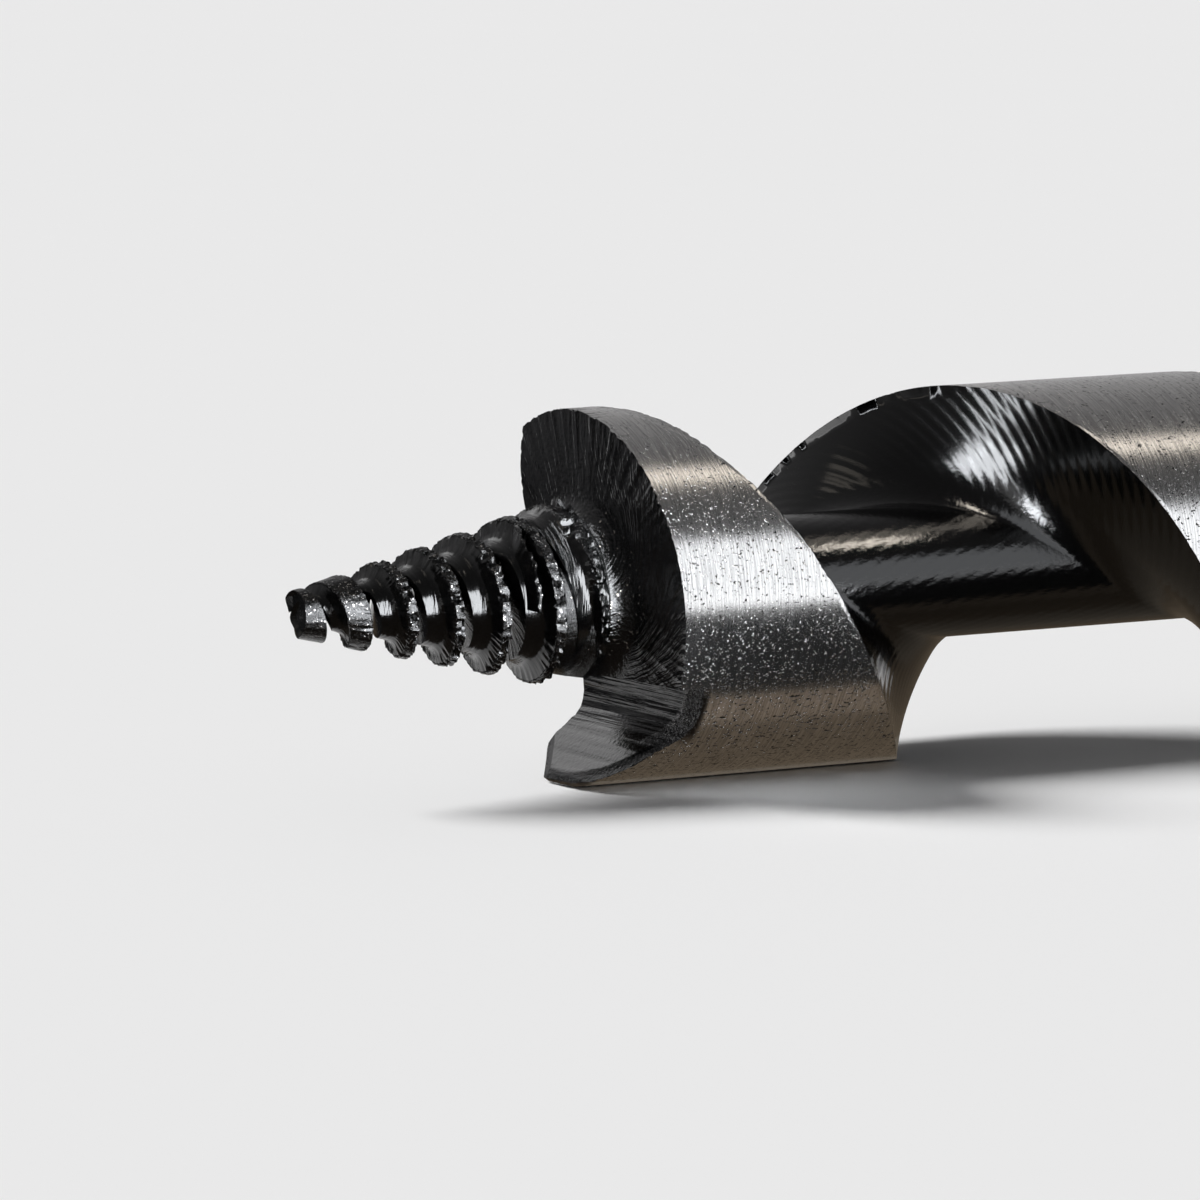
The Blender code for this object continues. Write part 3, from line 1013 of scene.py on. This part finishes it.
def shank():
    corner = HEX_ACROSS_FLATS / 2 / math.cos(math.pi / 6)
    outline = [on_bit(HEX_START_X, (i + 0.5) * math.tau / 6, corner) for i in range(6)]
    hexagon = prism("shank", outline, ALONG * (HEX_END_X - HEX_START_X) * MM, plain_lacquer)
    past = 2  # the envelope's cones go on past the corners and the ends
    near = corner - HEX_CHAMFER - past * CHAMFER_SLOPE
    far = corner + past
    run = (HEX_CHAMFER + past) / CHAMFER_SLOPE
    profile = [
        (HEX_START_X - past, 0),
        (HEX_START_X - past, near),
        (HEX_START_X + run, far),
        (HEX_END_X - run, far),
        (HEX_END_X + past, near),
        (HEX_END_X + past, 0),
    ]
    envelope = piece("envelope", spun(profile, 192), plain_lacquer)
    shape(hexagon, (envelope, "INTERSECT"))


shank()

# %% [markdown]
# ## The floor and the sun
#
# A pale floor carries the bit, and a sun lamp with a wide angle lights it and gives the soft shadow. An
# area lamp would do as well, but would brighten one part of the floor more than another. The sun is kept
# out of reflections, which the softboxes below make instead.

# %% The floor
FLOOR_RADIUS = 6.0  # in metres


def floor_finish():
    finish = Finish(bpy.data.materials.new("pale_floor"))
    return finish.surface(base_color=(0.86, 0.86, 0.86, 1), roughness=0.9, specular_ior_level=0.0)


bm = bmesh.new()
bmesh.ops.create_circle(bm, cap_ends=True, radius=FLOOR_RADIUS, segments=96)
floor = piece("floor", bm, floor_finish())
print("floor", round(floor.dimensions.x, 1), "m wide")

# %% The sun
sun_data = bpy.data.lights.new("sun_lamp", "SUN")
sun_data.energy = 3.6
sun_data.angle = math.radians(25)
sun = bpy.data.objects.new("sun_lamp", sun_data)
bpy.context.scene.collection.objects.link(sun)
sun.rotation_euler = direction(-140, 42).to_track_quat("Z", "Y").to_euler()
sun.visible_glossy = False
print("sun", sun_data.energy)

# %% [markdown]
# ## The softboxes
#
# Gloss shows what is round it, so each highlight on the bit is the picture of one softbox, as long and as
# high as the streak that it gives. Only reflections see these lamps, so they can stand in front of the
# lens and close to the steel.

# %% The softboxes


def from_head(x, y, z):
    """A point in millimetres from ZERO_X on the axis: along it, across it and above it."""
    return Vector((ZERO_X + x, y, AXIS_Z + z)) * MM


def softbox(name, centre, target, width, height, radiance, colour, along=ALONG):
    """A lamp of this size in millimetres that faces the target and shows only in reflections."""
    data = bpy.data.lights.new(name, "AREA")
    data.shape = "RECTANGLE"
    data.size = width * MM
    data.size_y = height * MM
    data.energy = radiance * math.pi * width * height * MM * MM
    data.color = colour
    lamp = bpy.data.objects.new(name, data)
    bpy.context.scene.collection.objects.link(lamp)
    lamp.location = centre
    back = (centre - target).normalized()
    up = back.cross(along).normalized()
    lamp.rotation_euler = Matrix((up.cross(back), up, back)).transposed().to_euler()
    lamp.visible_camera = False
    lamp.visible_diffuse = False
    print(name, [round(v / MM) for v in centre])


COOL = (0.93, 0.96, 1.0)
WARM = (1.0, 0.91, 0.79)
WHITE = (1, 1, 1)
FAR_BOX = 0.5  # in metres from the head
ARC_OF_FAN = Vector((0, 21, 10.3))
head = from_head(0, 0, 0)
softbox("key_strip", from_head(92, -35, 11), from_head(92, 0, 11), 160, 26, 1.75, COOL)
softbox("warm_strip", from_head(300, -62, 400), from_head(60, 0, 0), 420, 74, 1.7, WARM)
softbox("core_spot", from_head(18.8, -6.3, 11.2), from_head(12.5, -2.2, 1.9), 3.6, 2.0, 16.0, WARM)
softbox("screw_strip", from_head(-8, -20, 1.8), from_head(-8, 0, 1.8), 15, 18, 18.0, COOL)
softbox("fan_strip", from_head(15.4, -12.8, -1.3), from_head(20.7, -2.4, 2.8), 4.2, 2.8, 28.0, COOL)
softbox("fan_arc", from_head(-3, -6.1, 7.1), from_head(19.5, -0.5, 5), 18.6, 1.5, 18.0, COOL, ARC_OF_FAN)
softbox("back_softbox", head + direction(-179, 31) * FAR_BOX, head, 190, 190, 1.1, WHITE)
softbox("left_softbox", head + direction(-105, 55) * FAR_BOX, head, 60, 190, 0.9, WARM)

# %% [markdown]
# ## Painted shade and painted reflections
#
# The pale floor would fill the underside, the face and the core with white. Sheets lie just above it and
# behind the bit, and only reflections see them. Each is a painted shade or a painted reflection: it glows
# with a fixed colour of its own, dark where it paints shade and grey or brown where it paints a
# reflection, and the ones under the bit are brown, because the photograph's steel is brown along its lower
# side.

# %% Painted shade and painted reflections
# Glow colours of the sheets: painted shade where dark, painted reflections where grey or brown.
PAINTED_SHADE_BLACK = (0.022, 0.022, 0.023, 1)
PAINTED_REFLECTION_GREY = (0.19, 0.19, 0.195, 1)
PAINTED_REFLECTION_BROWN = (0.20, 0.16, 0.12, 1)
PAINTED_BOUNCE_BROWN = (0.17, 0.145, 0.115, 1)
PAINTED_SHADE_DARK_BROWN = (0.125, 0.098, 0.07, 1)
PAINTED_SHADE_DEEP_BROWN = (0.065, 0.052, 0.040, 1)
CARD_Z = 0.1 - AXIS_Z  # a tenth of a millimetre over the floor


def painted_light_sheet(name, corners, colour):
    """A sheet through these corners that glows a little, in reflections only: painted shade or a painted
    reflection.
    """
    finish = Finish(bpy.data.materials.new(name))
    finish.surface(
        base_color=(0, 0, 0, 1), specular_ior_level=0.0, emission_color=colour, emission_strength=1.0
    )
    bm = bmesh.new()
    bm.faces.new([bm.verts.new(from_head(*corner)) for corner in corners])
    sheet = piece(name, bm, finish.owner)
    sheet.visible_camera = False
    sheet.visible_diffuse = False
    sheet.visible_shadow = False
    print(name, [round(v / MM) for v in sheet.dimensions])


def flat_painted_light_sheet(name, x0, x1, y0, y1, colour):
    corners = [(x0, y0, CARD_Z), (x1, y0, CARD_Z), (x1, y1, CARD_Z), (x0, y1, CARD_Z)]
    painted_light_sheet(name, corners, colour)


# Painted shade in front of, under and beside the bit, and painted brown reflections under it; none of them
# is a lamp.
flat_painted_light_sheet("front_painted_shade", -1, 260, -90, -9.4, PAINTED_SHADE_BLACK)
flat_painted_light_sheet("near_painted_reflection", -1, 260, -9.4, -6.6, PAINTED_REFLECTION_BROWN)
flat_painted_light_sheet("under_painted_shade", -1, 260, -6.6, -2.1, PAINTED_SHADE_DARK_BROWN)
flat_painted_light_sheet("under_painted_bounce", -1, 260, -2.1, 4, PAINTED_BOUNCE_BROWN)
flat_painted_light_sheet("rear_floor_painted_shade", -1, 260, 4, 60, PAINTED_SHADE_DARK_BROWN)
flat_painted_light_sheet("left_painted_shade", -60, -1, -25, 2.5, PAINTED_SHADE_DEEP_BROWN)
flat_painted_light_sheet("left_rear_painted_shade", -60, -13, 2.5, 14, PAINTED_SHADE_DEEP_BROWN)
near_left, near_right = (-90, 18, CARD_Z), (-4, 18, CARD_Z)
middle_left, middle_right = (-90, 32, -0.8), (-6, 32, -0.8)
far_left, far_right = (-90, 80, 24), (-14, 80, 24)
painted_light_sheet("rear_low_painted_shade", [near_left, near_right, middle_right, middle_left], PAINTED_SHADE_BLACK)
painted_light_sheet("rear_painted_reflection", [middle_left, middle_right, far_right, far_left], PAINTED_REFLECTION_GREY)

# %% [markdown]
# ## The world
#
# The room is brighter behind the bit than in front of it, and darkens upwards. The gradient is worked out
# from the direction, which Texture Coordinate's Generated output gives in a world.

# %% The world


def room():
    finish = Finish(bpy.data.worlds.new("studio"), "Background")
    towards = finish.add("TexCoord", {}, {}, output="Generated")
    y = finish.add("SeparateXYZ", {}, {0: towards}, output="Y")
    z = finish.add("SeparateXYZ", {}, {0: towards}, output="Z")
    behind = y.band(-0.5, 0.9)
    level = behind * (1 - z * 0.75) * 0.42 + 0.10
    finish.set(finish.shader.inputs["Color"], finish.mix(level, (0, 0, 0, 1), (1, 0.99, 1, 1)))
    return finish.owner


bpy.context.scene.world = room()
print("world", bpy.context.scene.world.name)

# %% [markdown]
